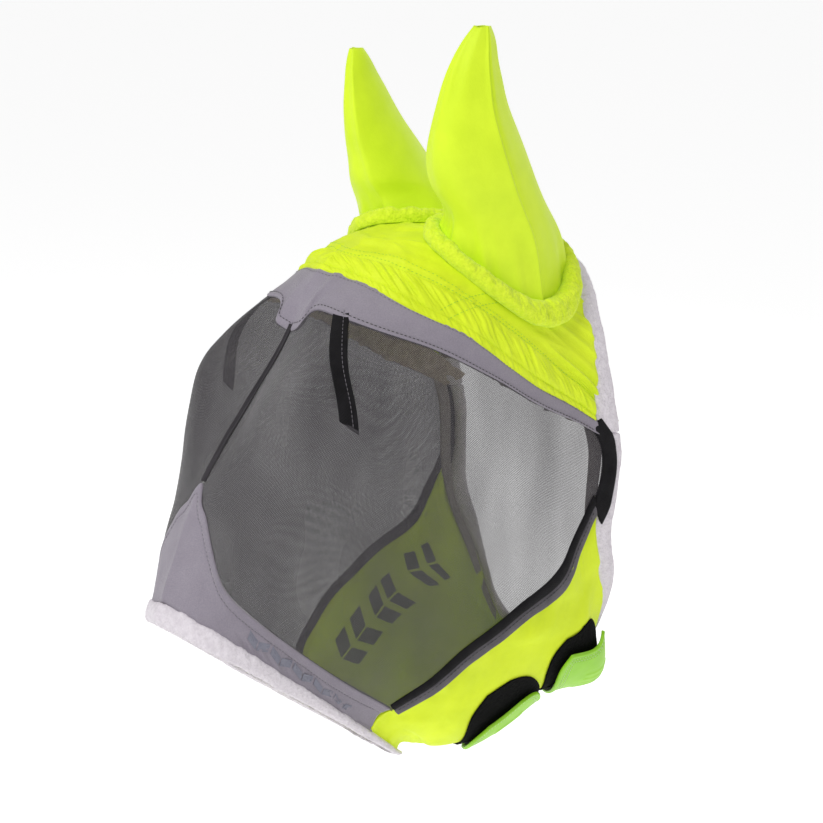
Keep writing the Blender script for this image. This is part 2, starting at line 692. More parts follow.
# ---------------------------------------------------------------- brow band
TAB = [(.502, 0.0), (.502, .020), (.502, .034), (.504, .043), (.512, .048), (.530, .053), (.544, .066), (.551, .092)]
A, B = curve(both(TAB + BROW_LOW[1:])), curve(both(BROW_TOP))
s, t, u, w = grid(A, B, 40, 420)
px, py = lengths(u, w)
wob = .9 * vn(py / 46, px / 30, 3) + .35 * vn(py / 17, px / 14, 5)
hem = .55 * (smooth(s, .0, .03) * (1 - smooth(s, .10, .14)))                     # turned hem
groove = -.35 * np.exp(-((s - .115) / .018) ** 2) - .5 * np.exp(-((s - .985) / .03) ** 2)
crease = 1.6 * np.exp(-((py - 16 - 6 * (s - .5)) / 5.0) ** 2) * smooth(s, .05, .3) - 1.1 * np.exp(-((py - 27 - 6 * (s - .5)) / 6.0) ** 2)
top = 1.0 + wob + hem + groove + crease * .8
O = at(u, w, top)
brow = solid("brow_band_fabric", O, at(u, w, -SHELL + wob + crease * .8), "band_grey", "mask", ["brow_band"], "band_grey")
sheet(brow, O, on=["mesh_left_fabric"])
BROW = (u, w, top)

# fleece lining under it
A, B = curve(both([(.556, 0.0)] + shift(BROW_LOW[1:], -.002))), curve(both(shift(BROW_TOP, .078)))
s, t, u, w = grid(A, B, 44, 420)
px, py = lengths(u, w)
u = u - .007 * np.clip(fbm(py / 9, 0 * px, 12, 3), -.4, 1) * (1 - smooth(s, 0, .35))
edge = np.sin(np.pi * np.clip(s, 0, 1)) ** .35
deep = 2.2 * smooth(s, .42, .6)
low = -SHELL - GAP - .4 - deep - edge * (LINING - .3 + .8 * fbm(py / 6, px / 6, 11))
O = at(u, w, -SHELL - GAP - .2 - deep)
lin = solid("brow_lining_fleece", O, at(u, w, low), "fleece_tan", "mask", ["brow_fleece_lining"], "fleece_tan")
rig.padded(lin, fill=.35)

# ---------------------------------------------------------------- eye mesh
mesh_front = curve([(.246, .004)] + shift(NOSE_TOP[1:], -.004, 0))
mesh_back = curve([(.512, .004), (.512, .034), (.533, .050), (.552, .076)] + shift(BROW_LOW[1:], .008, 0)[:-1] + [(.957, .473), (.984, .492)])
mesh_low = curve([(.246, .004), (.512, .004)])
mesh_high = curve([(.146, .648)] + shift(PIPE[1:], 0, .004)[:-1] + [(.924, .555), (.953, .543), (.977, .522), (.984, .492)])
s, t, u, w = coons(mesh_front, mesh_back, mesh_low, mesh_high, 170, 170)
px, py = lengths(u, w)
P = form(u, w)
# soft folds that run down from the dart towards the nose
ax, ay = P[..., 1], P[..., 2]
fan = np.arctan2(-(ay + 60), -(ax + 95))                       # angle about the dart's top, seen from the side
rad = np.hypot(ay + 60, ax + 95)
folds = (1.9 * np.sin(fan * 9.0 + .8 * vn(rad / 60, fan * 3, 8)) * smooth(rad, 20, 90) * (1 - smooth(rad, 150, 260))
         * smooth(fan, .2, .6) * (1 - smooth(fan, 1.7, 2.1)))
soft = 1.3 * vn(px / 62, py / 70, 21) + .5 * vn(px / 24, py / 27, 22)
border = smooth(s, 0, .05) * (1 - smooth(s, .95, 1)) * smooth(t, 0, .05) * (1 - smooth(t, .94, 1))
dsp = (folds + soft) * border
for side, tag in ((1, "left"), (-1, "right")):
    O, I = at(u, w, dsp), at(u, w, dsp - MESHT)
    if side < 0:
        O, I = mirror_grid(O), mirror_grid(I)
    o = solid("mesh_%s_fabric" % tag, O, I, "mesh_dark", "mask", ["mesh_%s" % tag], "mesh_dark")
    sheet(o, O)


def strip_piece(name, A, B, n, m, h0, h1, mat, node_, slot_, side=1, ripple=0.0, wave=18, crown=0.0, seed=1, body="mask",
                declare="sheet", dspf=None):
    s, t, u, w = grid(A, B, n, m)
    px, py = lengths(u, w)
    r = ripple * vn(py / wave, px / wave, seed)
    if dspf is not None:
        r = r + dspf(s, t, px, py)
    up = h1 + r + crown * np.sin(np.pi * s) ** .7
    lo = h0 + r * .6
    O, I = at(u, w, up), at(u, w, lo)
    if side < 0:
        O, I = mirror_grid(O), mirror_grid(I)
    o = solid(name, O, I, mat, body, [node_] if node_ else (), slot_)
    if declare == "sheet":
        sheet(o, O, on=["mesh_left_fabric"] if side > 0 else ["mesh_right_fabric"])
    elif declare == "padded":
        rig.padded(o, fill=.6)
    return o


# tapes on the mesh
strip_piece("centre_seam_tape_fabric", curve([(.250, -.011), (.512, -.007)]), curve([(.250, .011), (.512, .007)]), 10, 90,
            .2, 1.3, "seam_dark", "centre_seam_tape", "tape_black", ripple=.4, crown=.5)
DA = [(.572, .118), (.520, .160), (.473, .202), (.440, .243), (.417, .268)]
DB = [(.580, .156), (.528, .196), (.480, .236), (.450, .272), (.424, .298)]
for side, tag in ((1, "left"), (-1, "right")):
    strip_piece("dart_tape_%s_fabric" % tag, curve(DA), curve(DB), 14, 90, .25 if side > 0 else -1.9, 1.5 if side > 0 else -.8, "tape_black", "dart_tape_%s" % tag,
                "tape_black", side, ripple=.5, wave=22, seed=4)

# ---------------------------------------------------------------- nose band
s, t, u, w = grid(curve(both([(.016, 0.0), (.014, .1), (.012, .25), (.012, .4), (.012, .55), (.012, .652)])),
                  curve(both(NOSE_TOP)), 60, 360)
px, py = lengths(u, w)
hemd = px[-1:] - px
hem = .6 * smooth(hemd, 0, 1.0) * (1 - smooth(hemd, 7, 8.2)) - .3 * np.exp(-((hemd - 8.4) / .8) ** 2)
wob = .8 * vn(py / 40, px / 34, 31) + .4 * vn(py / 16, px / 20, 32)
pk = .9 * vn(py / 7, px / 30, 33) * (1 - smooth(px, 2, 16))
top = .9 + hem + (wob + pk) * smooth(px, 0, 4)
O = at(u, w, top)
nose = solid("nose_band_fabric", O, at(u, w, -SHELL + wob * smooth(px, 0, 4)), "band_grey", "mask", ["nose_band"], "band_grey")
sheet(nose, O, on=["nose_fleece_roll"])
NOSE = (u, w, top, px)


def at_nose(uu, ww, lift):
    """Height of the nose band's face at a point, for what is printed on it."""
    k = ((NOSE[0] - uu) ** 2 + (NOSE[1] - ww) ** 2).argmin()
    return NOSE[2].ravel()[k] + lift


def fleece_roll(name, u0, u1, w_fn, n, m, node_, side=1, out=4.5, inn=5.0, seed=1, bias=.2, ragged=.0035, mat="fleece_white",
                slot_="fleece_white"):
    """A rolled fleece binding between two edges of the form, closed as a tube."""
    a = np.linspace(0, 2 * np.pi, n, endpoint=False)
    t = np.linspace(0, 1, m)
    Aa, T = np.meshgrid(a, t, indexing='ij')
    pa, pb = u0(T), u1(T)
    L = np.linalg.norm(np.diff(form(u0(t)[:, 0], u0(t)[:, 1]), axis=0), axis=1)
    arc = np.concatenate([[0], np.cumsum(L)])[None, :] + 0 * Aa
    c = .5 - .5 * np.cos(Aa)                                    # across, 0 at the front edge
    edge = ragged * vn(arc / 7.0, 0 * arc, seed) * (1 - c)
    q = pa * (1 - c[..., None]) + pb * c[..., None]
    lump = 1 + .11 * fbm(arc / 6.5, Aa * 1.7, seed + 2, 3) + .14 * vn(arc / 24, Aa * .6, seed + 3)
    h = np.where(np.sin(Aa) > 0, out, inn) * np.abs(np.sin(Aa)) ** .7 * np.sign(np.sin(Aa)) * lump + bias
    lump2 = .0009 * fbm(arc / 4.0, Aa * 2.3, seed + 7, 3) + .0016 * vn(arc / 21, 0 * Aa, seed + 9)
    P = at(q[..., 0] + edge + lump2, q[..., 1], h)
    # soften both ends
    cen = P.mean(axis=0, keepdims=True)
    k = np.minimum(smooth(T, 0, 3.0 / m), 1 - smooth(T, 1 - 3.0 / m, 1))
    k = .05 + .95 * np.sqrt(np.clip(k, 0, 1))
    P = cen + (P - cen) * k[..., None]
    if side < 0:
        P = mirror_grid(P)
    return tube(name, P, mat, "mask", [node_], slot_)


def tube(name, P, mat, body, nodes=(), slot=None):
    """Closed tube from rings: P[ring angle, along]; ends are capped."""
    n, m = P.shape[:2]
    V = [tuple(p) for p in (P.transpose(1, 0, 2).reshape(-1, 3) * MM)]
    F = []
    for j in range(m - 1):
        for i in range(n):
            k = (i + 1) % n
            F.append((j * n + i, j * n + k, (j + 1) * n + k, (j + 1) * n + i))
    for j, rev in ((0, False), (m - 1, True)):
        V.append(tuple(P[:, j].mean(axis=0) * MM))
        c = len(V) - 1
        for i in range(n):
            k = (i + 1) % n
            F.append((j * n + k, j * n + i, c) if not rev else (j * n + i, j * n + k, c))
    me = bpy.data.meshes.new(name)
    me.from_pydata(V, [], F)
    bm = bmesh.new()
    bm.from_mesh(me)
    bmesh.ops.recalc_face_normals(bm, faces=bm.faces)
    bm.to_mesh(me)
    bm.free()
    lay = me.uv_layers.new(name="UVMap")
    circ = np.linalg.norm(np.diff(np.concatenate([P, P[:1]]), axis=0), axis=2).sum(axis=0).mean() * MM
    along = np.concatenate([[0], np.cumsum(np.linalg.norm(np.diff(P.mean(axis=0), axis=0), axis=1))]) * MM
    vi = np.empty(len(me.loops), np.int32)
    me.loops.foreach_get("vertex_index", vi)
    U = np.zeros((len(V), 2))
    idx = np.arange(n * m)
    U[:n * m, 0] = (idx % n) / n * circ
    U[:n * m, 1] = along[idx // n]
    lay.data.foreach_set("uv", U[vi].ravel())
    me.polygons.foreach_set("use_smooth", np.ones(len(me.polygons), bool))
    me.materials.append(MATS[mat])
    o = bpy.data.objects.new(name, me)
    scene.collection.objects.link(o)
    finish_piece(o, body, nodes, slot)
    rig.padded(o, fill=.7)
    return o


ww = np.linspace(-.9985, .9985, 25)
fleece_roll("nose_fleece_roll", curve([(.015, x) for x in ww]), curve([(-.021, x) for x in ww]), None, 22, 760,
            "nose_fleece_binding", out=4.2, inn=4.8, seed=41, ragged=.002)

# ---------------------------------------------------------------- crown
A, B = curve(both(shift(BROW_TOP, -.004))), curve(both(shift(CHANNEL, .004)))
s, t, u, w = grid(A, B, 56, 900)
px, py = lengths(u, w)
Lc = px[-1:]
pf = px / np.maximum(Lc, 1)
main = np.sqrt(np.clip(1 - ((pf - .64) / .36) ** 2, 0, 1))
cord = np.sqrt(np.clip(1 - ((pf - .15) / .13) ** 2, 0, 1))
sg = np.sign(w + 1e-9)
gat = fbm((py * sg + px * 1.9) / 5.4, px / 15, 51, 3, .5)
gat2 = fbm((py * sg + px * 1.5) / 3.4, px / 12, 57, 2, .45)
fade = smooth(np.minimum(t, 1 - t), 0, .02)
top = (.2 + 2.8 * main + 1.7 * cord + fade * (1.5 * gat * main + .9 * gat2 * cord + .5 * gat * np.exp(-((pf - .285) / .05) ** 2)))
O = at(u, w, np.clip(top, -.3, 7.0))
ch = solid("brow_channel_gathered", O, at(u, w, -SHELL + .3 * gat * main), "softshell_yellow", "mask", ["brow_elastic_channel"],
           "softshell_yellow")
sheet(ch, O, "gathered", on=["brow_band_fabric"], gather=1.1)

CHAN = (u, w, np.clip(top, -.3, 7.0))
EAR_U, EAR_W, HOLE_A, HOLE_B = .893, .178, 57.0, 46.0
du = form(np.array(EAR_U + .01), np.array(EAR_W)) - form(np.array(EAR_U - .01), np.array(EAR_W))
dw = form(np.array(EAR_U), np.array(EAR_W + .01)) - form(np.array(EAR_U), np.array(EAR_W - .01))
KU, KW = .02 / np.linalg.norm(du), .02 / np.linalg.norm(dw)
hole_c = at(np.array(EAR_U), np.array(EAR_W), np.array(0.0))


def hole_ring(a, A, B, h):
    return at(EAR_U + A * np.cos(a) * KU, EAR_W + B * np.sin(a) * KW, h)


A, B = curve(both(CHANNEL + [(.974, .440)])), curve(both(shift(REAR_TOP, .004) + [(.980, .447)]))
s, t, u, w = grid(A, B, 150, 640)
px, py = lengths(u, w)
zig = np.abs(((py / 8.5 + .4 * vn(py / 19, 0 * py, 66)) % 1) - .5) * 2
u = u - .0075 * zig * smooth(np.abs(w), .24, .32) * smooth(s, .9, 1.0)
Lc = np.maximum(px[-1:], 1)
fr = smooth(px, 0, 10)
fd = vn(px / 15 + .5 * vn(py / 50, px / 50, 60), py / 70, 61)
folds = 7.5 * (1 - np.abs(fd) * 1.6) * .7 + 1.2 * vn(px / 8.0, py / 34, 62)
puck = 1.6 * fbm((py + .5 * px) / 7.5, px / 22, 63, 2) * (1 - smooth(px, 4, 26))
diag = 1.0 * vn((np.abs(py) - px * .9) / 11, (np.abs(py) + px) / 46, 64)
away = np.sqrt(((u - EAR_U) / KU / (HOLE_A + 14)) ** 2 + ((np.abs(w) - EAR_W) / KW / (HOLE_B + 14)) ** 2)
calm = .45 + .55 * smooth(away, 1.0, 1.4)
end = smooth(px, 0, 3) * smooth(Lc - px, 0, 8) * smooth(np.minimum(t, 1 - t), 0, .02)
top = -.9 + end * calm * (folds * fr + puck + diag * fr) * .80 + .5 * np.sin(np.pi * np.clip(px / 9, 0, 1))
top = np.maximum(top, -.7 + .25 * top)
top = np.maximum(top, -1.2)
O = at(u, w, top)
ea = np.sqrt(((u - EAR_U) / KU / (HOLE_A + 4)) ** 2 + ((np.abs(w) - EAR_W) / KW / (HOLE_B + 4)) ** 2)
cell = (ea[:-1, :-1] + ea[1:, :-1] + ea[:-1, 1:] + ea[1:, 1:]) / 4
crown = solid("crown_soft_shell", O, at(u, w, top - SHELL), "softshell_yellow", "mask", ["crown_panel"], "softshell_yellow",
              keep=cell > 1.0)
areaO = np.linalg.norm(np.cross(O[:-1, 1:] - O[:-1, :-1], O[1:, :-1] - O[:-1, :-1]), axis=2)
aa = float((areaO * (cell > 1.0)).sum()) * 1e-6
LL = float(np.linalg.norm(np.diff(O, axis=1), axis=2).sum(axis=1).mean()) * MM
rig.sheet(crown, flat=(aa / LL / .8, LL), held="stretched", rests_on=["brow_channel_gathered"], area=aa * 1.02)
FLAT[crown.name] = (round(aa / LL / .8 * 1000), round(LL * 1000))
CROWN = (u, w, top)

# ---------------------------------------------------------------- ears
EARS = {
    1: [(59.5, 10.0, 14.0, 51.5, 37.0, 20, 6), (62.0, -4.0, 36.0, 50.0, 34.0, 11, 4), (64.5, -16.5, 61.0, 47.0, 31.0, 5, 2),
        (66.5, -22.5, 80.0, 42.5, 26.5, 2, 0), (67.5, -25.5, 96.0, 37.5, 22.0, 0, 0), (68.5, -27.5, 115.0, 31.0, 17.5, 0, 0),
        (69.2, -27.5, 131.0, 26.5, 14.5, 0, 0), (70.0, -26.5, 147.0, 21.0, 11.5, 0, 0), (70.0, -23.0, 163.0, 14.0, 8.0, 0, 0),
        (70.0, -20.5, 173.0, 7.0, 4.5, 0, 0)],
    -1: [(60.0, 7.0, 13.0, 51.0, 37.0, 20, 6), (62.5, -4.0, 31.0, 48.0, 33.0, 11, 4), (64.5, -11.0, 49.0, 43.0, 28.0, 5, 2),
         (66.0, -18.0, 66.0, 38.0, 23.5, 2, 0), (67.0, -24.5, 82.0, 32.0, 19.5, 0, 0), (67.5, -30.5, 99.0, 25.5, 15.0, 0, 0),
         (68.0, -34.5, 114.0, 20.0, 12.0, 0, 0), (69.0, -37.5, 127.0, 15.0, 9.5, 0, 0), (69.5, -39.5, 137.0, 10.0, 7.0, 0, 0),
         (70.0, -41.0, 144.0, 6.0, 4.5, 0, 0)],
}
EAR_A, EAR_B = HOLE_A - 4.0, HOLE_B - 4.0
SEAM_A, SEAM_B = math.radians(-150), math.radians(85)


def ear_grid(side, a0, a1, n=110, m=90):
    a = np.linspace(a0, a1, m)
    rows = [hole_ring(a, HOLE_A + .5, HOLE_B + .5, np.full(m, .2))]
    for cx, cy, cz, ha, hb, roll_, pitch in EARS[side]:
        r, p = math.radians(roll_), math.radians(pitch)
        Av = np.array([0, math.cos(p), -math.sin(p)])
        Bv = np.array([math.cos(r), 0, -math.sin(r)])
        rows.append(np.array([cx, cy, cz]) + Av * ha * np.cos(a)[:, None] + Bv * hb * np.sin(a)[:, None])
    rows = np.array(rows)
    c = rows.mean(axis=1)
    k = np.concatenate([[0], np.cumsum(np.linalg.norm(np.diff(c, axis=0), axis=1))])
    G = spline(k / k[-1], rows.reshape(len(rows), -1))(np.linspace(0, 1, n)).reshape(n, m, 3)
    K = np.linspace(0, 1, n)[:, None] + 0 * a[None, :]
    AA = a[None, :] + 0 * K
    cen = G.mean(axis=1, keepdims=True)
    # local outward direction from the grid itself
    gi, gj = np.gradient(G, axis=0), np.gradient(G, axis=1)
    N = np.cross(gj, gi)
    N /= np.linalg.norm(N, axis=2)[..., None] + 1e-9
    cc = np.array([r[:2] for r in EARS[side]])
    ref = G - np.array([cc[:, 0].mean(), cc[:, 1].mean(), 0])
    if (N * ref)[..., :2].sum() < 0:
        N = -N
    return G, N, K, AA


for side, tag in ((1, "left"), (-1, "right")):
    for part, a0, a1 in (("front", SEAM_B, SEAM_A + 2 * math.pi), ("back", SEAM_A, SEAM_B)):
        G, N, K, AA = ear_grid(side, a0, a1)
        f = (AA - a0) / (a1 - a0)
        # the seams stand up as soft ridges, the panels sag a little between them
        ridge = 2.2 * (np.exp(-(f / .06) ** 2) + np.exp(-((1 - f) / .06) ** 2)) * smooth(K, .03, .2) * (1 - .6 * smooth(K, .75, 1))
        hollow = -1.8 * np.sin(np.pi * f) * smooth(K, .1, .4) * (1 - smooth(K, .85, 1))
        base = (1 - smooth(K, .02, .30))
        rip = base * (2.6 * vn(f * 7.0, K * 2.0, 71 + side) + 1.2 * vn(f * 15, K * 3, 75))
        soft = 2.0 * vn(f * 3.4 + 9 * side, K * 2.2, 77) * smooth(K, .1, .3) * (1 - .6 * smooth(K, .7, 1))
        dsp = ridge + hollow + rip * smooth(K, 0, .03) + soft
        keep_seam = smooth(f, 0, .02) * (1 - smooth(f, .98, 1))
        dsp = ridge + (hollow + rip + soft) * keep_seam
        O = G + N * dsp[..., None]
        I = O - N * 1.3
        O[..., 0] *= side
        I[..., 0] *= side
        o = solid("ear_%s_%s_fabric" % (tag, part), O, I, "ear_yellow", None, ["ear_%s_%s_panel" % (tag, part)], "softshell_yellow")
        sheet(o, O, "stretched", on=["ear_collar_%s_roll" % tag])
        if part == "front":
            EAR_GRIDS = globals().setdefault("EAR_GRIDS", {})
            EAR_GRIDS[tag] = O
        c0 = hole_c * [side, 1, 1] * MM
        d = np.array([.13 * side, -.16, 1.0])
        d /= np.linalg.norm(d)
        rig.blend(o, "mask", "ear_%s" % tag, start=tuple(c0 + d * .000), end=tuple(c0 + d * .055))


# fleece rolls round the ear holes
for side, tag in ((1, "left"), (-1, "right")):
    n, m = 22, 460
    b_ = np.linspace(0, 2 * np.pi, n, endpoint=False)
    a_ = np.linspace(0.004, 2 * np.pi - .004, m)
    Bb, Aa = np.meshgrid(b_, a_, indexing='ij')
    c = .5 - .5 * np.cos(Bb)
    arc = Aa * 58.0
    lump = 1 + .13 * fbm(arc / 5.5, Bb * 1.8, 81, 3) + .10 * vn(arc / 24, Bb * .5, 84)
    h = np.where(np.sin(Bb) > 0, 10.5, 1.2) * np.abs(np.sin(Bb)) ** .75 * np.sign(np.sin(Bb)) * lump + 1.0
    A2 = HOLE_A - 2.5 + 15.0 * c + .6 * vn(arc / 9, Bb, 86)
    B2 = HOLE_B - 2.5 + 14.0 * c + .6 * vn(arc / 9, Bb, 87)
    P = hole_ring(Aa, A2, B2, h)
    if side < 0:
        P = mirror_grid(P)
    tube("ear_collar_%s_roll" % tag, P, "fleece_yellow", "mask", ["ear_collar_%s" % tag], "fleece_yellow")

# ---------------------------------------------------------------- cheeks
cheek_top = shift(PIPE, 0, .004)[:-1] + [(.925, .570)]
cheek_low = [(.014, .935), (.100, .935), (.200, .930), (.300, .925), (.420, .920), (.540, .920), (.650, .925), (.750, .930)]
s, t, u, w = coons(curve([(.014, .648), (.013, .80), (.014, .935)]), curve(CHEEK_REAR[:-1] + [(.750, .930)]),
                   curve([(.014, .648)] + cheek_top), curve(cheek_low), 120, 220)
UV = arc_uv(form(u, w))
du_, dv_ = UV[..., 0], UV[..., 1]
ps = np.concatenate([np.zeros((1, u.shape[1])), np.cumsum(np.linalg.norm(np.diff(form(u, w), axis=0), axis=2), axis=0)])
pt = np.concatenate([np.zeros((u.shape[0], 1)), np.cumsum(np.linalg.norm(np.diff(form(u, w), axis=1), axis=2), axis=1)], axis=1)
puck = 2.4 * fbm((pt + ps * .5) / 11, ps / 40, 91, 2) * np.exp(-ps / 15)
big = 2.6 * vn(pt / 55, ps / 36, 92) + 1.2 * vn((pt - ps) / 22, (ps + pt) / 60, 93)
nosep = .9 * vn(ps / 8, pt / 40, 94) * np.exp(-pt / 10)
edge = smooth(ps, 0, 4) * smooth(s, 0, .02) * (1 - smooth(s, .97, 1)) * smooth(t, 0, .012) * (1 - smooth(t, .98, 1))
dsp_cheek = (puck + big + nosep) * edge
# dark fold near the chin, just ahead of the front pad
fold = -2.2 * np.exp(-(((u - .165) - .25 * (w - .80)) / .016) ** 2) * smooth(w, .70, .76) * (1 - smooth(w, .90, .93))
# under the pads and straps the panel stays calm
calmL = 1 - smooth(u, .235, .27) * smooth(w, .655, .69)
for side, tag in ((1, "left"), (-1, "right")):
    d = dsp_cheek * (calmL if side > 0 else .9) + (fold if side > 0 else 0)
    O, I = at(u, w, d), at(u, w, d - SHELL)
    if side < 0:
        O, I = mirror_grid(O), mirror_grid(I)
    o = solid("cheek_%s_soft_shell" % tag, O, I, "softshell_yellow", "mask", ["cheek_%s" % tag], "softshell_yellow")
    sheet(o, O, "stretched", on=["piping_%s_cord" % tag])
CHEEK = (u, w, dsp_cheek)

# under-jaw flap
flap_l = [(.050, 1.115), (.140, 1.115), (.230, 1.11), (.330, 1.105), (.440, 1.10), (.540, 1.10), (.640, 1.10), (.735, 1.10)]
flap_r = [(.030, .944), (.110, .944), (.200, .940), (.300, .936), (.420, .932), (.540, .932), (.650, .936), (.742, .941)]
s, t, u, w = grid(curve([(a, -b) for a, b in flap_r]), curve([(a, -b) for a, b in flap_l]), 60, 160)
px, py = lengths(u, w)
k = np.clip(s * 3 - .6, 0, 1)
wob = .7 * vn(px / 22, py / 30, 95) * smooth(np.minimum(s, 1 - s), 0, .1)
top = (GAP + SHELL) * k + wob
O = at(u, w, top)
o = solid("under_jaw_flap_soft_shell", O, at(u, w, top - SHELL), "softshell_yellow", "mask", ["under_jaw_flap"], "softshell_yellow")
sheet(o, O, "stretched", on=["cheek_left_soft_shell"])

# ---------------------------------------------------------------- piping and seam strips
for side, tag in ((1, "left"), (-1, "right")):
    strip_piece("piping_%s_cord" % tag, curve(shift(PIPE, 0, -.009)), curve(shift(PIPE, 0, .0035)), 16, 300, .1, 1.0, "tape_black",
                "piping_%s" % tag, "tape_black", side, ripple=.4, wave=12, crown=1.3, seed=5)
    strip_piece("cheek_seam_strip_%s_fabric" % tag, curve(shift(PIPE, 0, .0035)), curve(shift(PIPE, 0, .0165)), 12, 300, .1, 1.3,
                "tape_grey", "cheek_seam_strip_%s" % tag, "tape_grey", side, ripple=.35, wave=12, crown=.5, seed=6)
    strip_piece("rear_binding_%s_tape" % tag, curve([(.915, .562), (.946, .542), (.966, .520), (.973, .500), (.968, .482), (.950, .464)]),
                curve([(.938, .590), (.974, .573), (1.001, .543), (1.015, .508), (1.008, .476), (.976, .452)]), 14, 120, -1.8, 1.7, "tape_black", "rear_binding_%s" % tag, "tape_black", side, ripple=.5, wave=12, crown=.6, seed=7)
    tl = [(.954, .456), (.962, .490), (.951, .520), (.921, .560), (.897, .598), (.892, .640), (.897, .680), (.889, .715), (.857, .755), (.806, .800)]
    strip_piece("rear_tape_%s_fabric" % tag, curve([(a + .010, b) for a, b in tl]), curve([(a - .028 - .02 * i / 9, b) for i, (a, b) in enumerate(tl)]),
                12, 160, -SHELL - GAP - TAPE - .8, -SHELL - GAP, "fleece_taupe", "rear_tape_%s" % tag, "tape_grey", side, ripple=.4, wave=20, seed=8)

# ---------------------------------------------------------------- rear fleece
fleece_roll("rear_fleece_top_roll", curve(both(shift(REAR_TOP, -.016) + [(.962, .456), (.962, .472)])),
            curve(both(REAR_OUT + [(1.031, .458), (1.034, .472)])), None, 20, 560, "rear_fleece_top",
            out=2.2, inn=5.0, seed=101, bias=-1.3, ragged=0.0)
SIDE_IN = [(.985, .470), (.990, .510), (.972, .545), (.940, .570), (.908, .590), (.890, .612), (.894, .640), (.906, .675),
           (.918, .705), (.884, .750), (.834, .805), (.784, .862), (.748, .915)]
SIDE_OUT = [(1.034, .468), (1.036, .512), (1.022, .550), (1.002, .582), (.988, .606), (.992, .626), (1.008, .650), (1.017, .678),
            (1.004, .708), (.962, .753), (.910, .808), (.860, .865), (.822, .915)]
for side, tag in ((1, "left"), (-1, "right")):
    fleece_roll("rear_fleece_%s_roll" % tag, curve(SIDE_IN), curve(SIDE_OUT), None, 18, 420,
                "rear_fleece_%s" % tag, side=side, out=1.9, inn=5.0, seed=111, bias=-1.4, ragged=.001)
fleece_roll("throat_fleece_roll", curve([(.755, -x) for x in np.linspace(.934, 1.066, 7)]), curve([(.812, -x) for x in np.linspace(.934, 1.066, 7)]),
            None, 18, 90, "throat_fleece", out=4.0, inn=5.0, seed=121, bias=-1.0)

# ---------------------------------------------------------------- pads, straps, pull tabs
rubber = None


def pad(name, Ap, Bp, h0, h1, n, m, mat, nodes, slot_, body, dspf=None, declare="sheet"):
    s, t, u, w = grid(curve(Ap), curve(Bp), n, m)
    px, py = lengths(u, w)
    r = dspf(s, t, px, py) if dspf else 0 * s
    O, I = at(u, w, h1 + r), at(u, w, h0 + (flare(t) if dspf is rubber else 0 * s))
    o = solid(name, O, I, mat, body, nodes, slot_)
    if declare == "sheet":
        sheet(o, O, "stretched", on=["cheek_left_soft_shell"])
    return o, u, w


fz = lambda s, t, px, py: .22 * fbm(px / 1.6, py / 1.6, 131, 2)
pad("loop_pad_front_fabric", [(.258, .852), (.258, .800), (.272, .745), (.298, .706), (.335, .690)],
    [(.444, .852), (.447, .800), (.444, .755), (.428, .722), (.385, .698)], GAP, GAP + 1.5, 90, 100, "loop_black",
    ["loop_pad_front"], "loop_black", "mask", fz)
pad("loop_pad_rear_fabric", [(.470, .852), (.462, .790), (.472, .748), (.505, .712), (.560, .685)],
    [(.730, .845), (.770, .790), (.780, .740), (.740, .695), (.640, .674)], GAP + .1, GAP + 1.6, 90, 100, "loop_black",
    ["loop_pad_rear"], "loop_black", "mask", fz)
h0 = GAP + 1.5 + GAP + .25
pad("strap_front_hook", [(.290, .886), (.278, .850), (.284, .800), (.318, .778)], [(.420, .886), (.432, .850), (.430, .800), (.392, .778)],
    h0, h0 + 2.2, 60, 70, "strap_black", ["strap_front"], "strap_black", "strap_front", fz)
pad("strap_rear_hook", [(.500, .886), (.488, .850), (.492, .800), (.535, .765)], [(.650, .886), (.675, .850), (.690, .800), (.660, .760)],
    h0 + .2, h0 + 2.4, 60, 70, "strap_black", ["strap_rear"], "strap_black", "strap_rear", fz)


def flare(t):
    return 2.6 * smooth(t, .25, 1.1) ** 1.5


def rubber(s, t, px, py):
    """Raised rim, a stitched groove inside it and a field of plain grip ribs."""
    d = np.minimum(np.minimum(s, 1 - s) * 70, (1 - t) * 60)
    rim = .5 * smooth(d, 0, .8) * (1 - smooth(d, 2.2, 3.0))
    grv = -.45 * np.exp(-((d - 4.2) / .7) ** 2) - .45 * np.exp(-((d - 7.0) / .7) ** 2)
    field = smooth(d, 10, 11.5)
    ribs = .55 * np.clip(np.sin(t * 60 / 5.0 * 2 * np.pi) * 1.6, 0, 1) * field * smooth(t, .18, .25) * (1 - smooth(t, .62, .7)) * smooth(np.minimum(s, 1 - s), .30, .34)
    return rim + grv + ribs + flare(t)


tabF = ([(.285, .872), (.270, .840), (.266, .800), (.286, .752), (.312, .738)], [(.420, .872), (.435, .840), (.438, .796), (.420, .750), (.380, .738)])
tabR = ([(.500, .872), (.487, .840), (.484, .795), (.504, .736), (.546, .705)], [(.665, .872), (.702, .840), (.752, .790), (.772, .738), (.694, .704)])
o, tu, tw = pad("pull_tab_front_rubber", tabF[0], tabF[1], h0 + 2.4, h0 + 4.8, 110, 120, "rubber_green", ["pull_tab_front"], "rubber_green",
                "strap_front", rubber, declare=None)
o, tu2, tw2 = pad("pull_tab_rear_rubber", tabR[0], tabR[1], h0 + 2.8, h0 + 5.2, 110, 120, "rubber_green", ["pull_tab_rear"], "rubber_green",
                  "strap_rear", rubber, declare=None)

# ---------------------------------------------------------------- prints
def chevron_quads(u, w, su, sw):
    out = []
    for k in (1, -1):
        out.append([(u, w + k * sw * .06), (u + su * .55, w + k * sw), (u + su, w + k * sw * .06), (u + su * 1.55, w + k * sw)])
    return out


